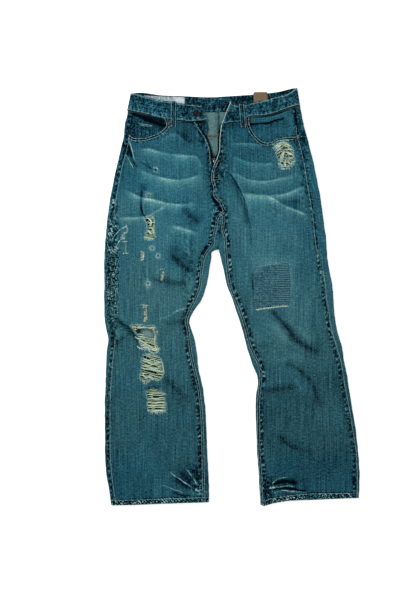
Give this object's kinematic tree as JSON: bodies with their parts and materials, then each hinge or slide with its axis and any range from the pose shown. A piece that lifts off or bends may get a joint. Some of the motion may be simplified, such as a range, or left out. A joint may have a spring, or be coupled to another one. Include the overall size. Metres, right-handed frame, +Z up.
{
  "type": "ripped jeans laid flat",
  "caption": "Worn straight-leg denim jeans laid flat and face up, fly half open, with rips, frayed threads and a darned knee patch",
  "frame": {"origin": "bottom centre of the bounding box, on the surface the jeans lie on", "axes": "+X towards the wearer's left leg, +Y from the hems to the waist, +Z up out of the front of the jeans"},
  "size_m": [0.6385, 1.0446, 0.0119],
  "materials": {
    "denim": "washed indigo twill with a green-blue cast, faded at creases, dark puckers along the seams",
    "darned_denim": "bluer twill worked over with close rows of darning thread",
    "lining": "plain undyed cotton pocketing",
    "zip_tape": "dark woven tape",
    "thread": "undyed weft threads and pale top stitching",
    "leather": "bare brown leather",
    "label": "bare woven satin label",
    "brass": "aged brass",
    "copper": "aged copper"
  },
  "bodies": {
    "garment": {"back_right": "denim", "back_left": "denim", "front_right": "denim", "front_left": "denim", "yoke_right": "denim", "yoke_left": "denim", "waistband": "denim", "belt_loop_1": "denim", "belt_loop_2": "denim", "belt_loop_3": "denim", "belt_loop_4": "denim", "belt_loop_5": "denim", "pocket_facing_right": "denim", "pocket_facing_left": "denim", "coin_pocket": "denim", "back_pocket_right": "denim", "back_pocket_left": "denim", "fly_shield": "denim", "pocket_bag_left": "lining", "zip_tape_right": "zip_tape", "zip_tape_left": "zip_tape", "zip_slider": "brass", "button": "brass", "rivet_1": "copper", "rivet_2": "copper", "rivet_3": "copper", "rivet_4": "copper", "knee_patch": "darned_denim", "leather_patch": "leather", "woven_label": "label"},
    "pull": {"zip_pull": "brass"}
  },
  "joints": [
    {"name": "zip_pull_swing", "type": "hinge", "parent": "garment", "child": "pull", "pos_m": [-0.0456, 0.345, 0.0084], "axis": [1, 0, 0], "range_deg": [0, 110]}
  ]
}
